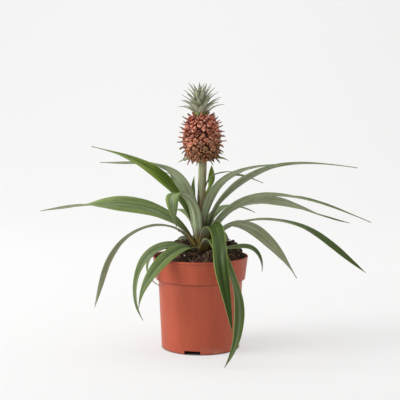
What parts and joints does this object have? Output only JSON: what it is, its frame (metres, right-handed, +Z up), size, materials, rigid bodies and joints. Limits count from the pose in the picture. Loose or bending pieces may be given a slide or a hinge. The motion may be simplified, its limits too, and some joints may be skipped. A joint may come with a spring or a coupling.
{
  "type": "potted pineapple plant",
  "caption": "Dwarf pineapple in fruit: a rosette of arching strap leaves and a stalk with a small crowned fruit, rooted in a peat block in a plain plastic nursery pot.",
  "frame": {"origin": "on the pot's axis, in the plane that the pot's foot stands on, which is also close to the middle of the leaf spread", "axes": "+Z up along the pot's axis, +X and -X along the plant's long sides, -Y towards its front, where the longest hanging leaf is"},
  "size_m": [0.4091, 0.2408, 0.3331],
  "materials": {
    "pot_plastic": "terracotta-coloured polypropylene, satin",
    "peat": "damp fibrous peat, rough",
    "stalk": "grey-green waxy skin",
    "fruit_skin": "ripening fruit skin, salmon to brown",
    "crown_leaf": "grey-green waxy leaf",
    "leaf": "green waxy leaf, grey-green underneath"
  },
  "bodies": {
    "root": {"pot": "pot_plastic", "soil": "peat", "stem": "stalk", "fruit": "fruit_skin", "crown": "crown_leaf", "leaf_upper_left": "leaf", "leaf_upper_left_rear": "leaf", "leaf_far_left": "leaf", "leaf_left_arch": "leaf", "leaf_left_droop": "leaf", "leaf_left_low": "leaf", "leaf_left_front": "leaf", "leaf_front_left_fold": "leaf", "leaf_front": "leaf", "leaf_front_right": "leaf", "leaf_upper_right": "leaf", "leaf_upper_right_rear": "leaf", "leaf_right_high": "leaf", "leaf_far_right": "leaf", "leaf_right_low": "leaf", "leaf_right_droop": "leaf", "leaf_right_rear_droop": "leaf", "leaf_right_short": "leaf", "leaf_rear_left_high": "leaf", "leaf_rear_left": "leaf", "leaf_rear": "leaf", "leaf_rear_right": "leaf", "leaf_rear_low": "leaf", "leaf_rear_right_low": "leaf", "leaf_stalk_left": "leaf", "leaf_stalk_right": "leaf", "leaf_stalk_front": "leaf"}
  },
  "joints": []
}
